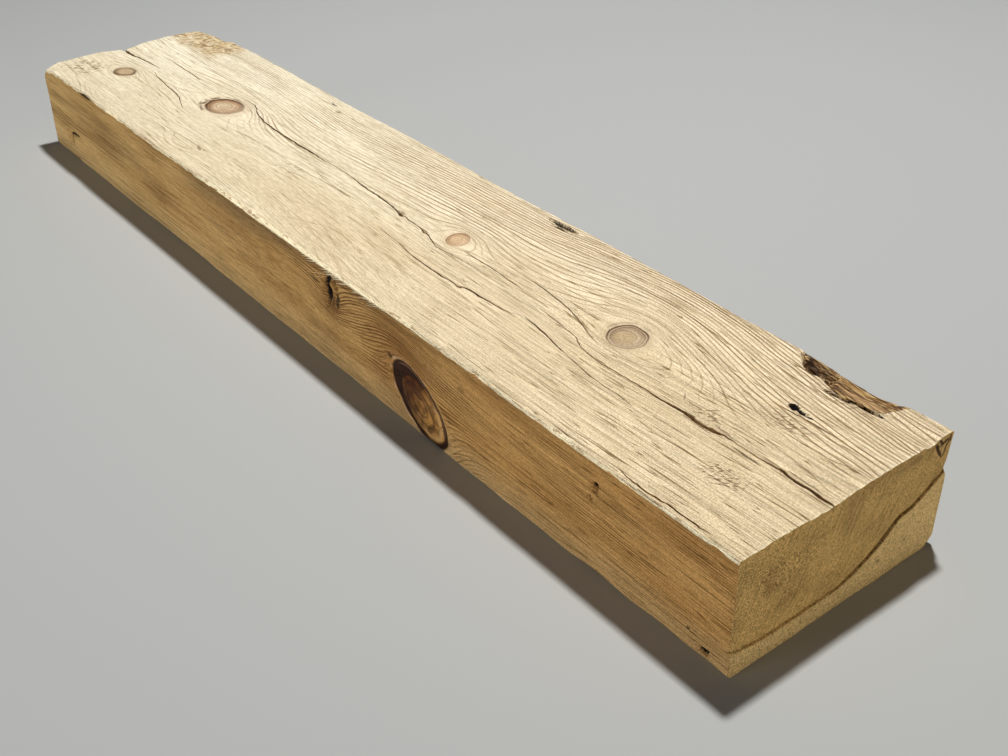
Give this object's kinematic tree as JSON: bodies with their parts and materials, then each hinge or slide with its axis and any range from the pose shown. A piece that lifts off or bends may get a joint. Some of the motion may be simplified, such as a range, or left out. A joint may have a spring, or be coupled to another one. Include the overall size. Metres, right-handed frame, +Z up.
{
  "type": "timber plank",
  "caption": "Heavy old sawn timber plank with worn arrises, drying checks, knots, a ring shake and a rot pocket, for use as a beam, shelf or mantel.",
  "frame": {"origin": "middle of the flat underside", "axes": "+X along the length to the end with the ring shake, +Y across the width to the side with the rot pocket, +Z up out of the checked face"},
  "size_m": [1.55, 0.292, 0.14],
  "materials": {
    "old_timber": "rough sawn, weathered"
  },
  "bodies": {
    "root": {"plank": "old_timber"}
  },
  "joints": []
}
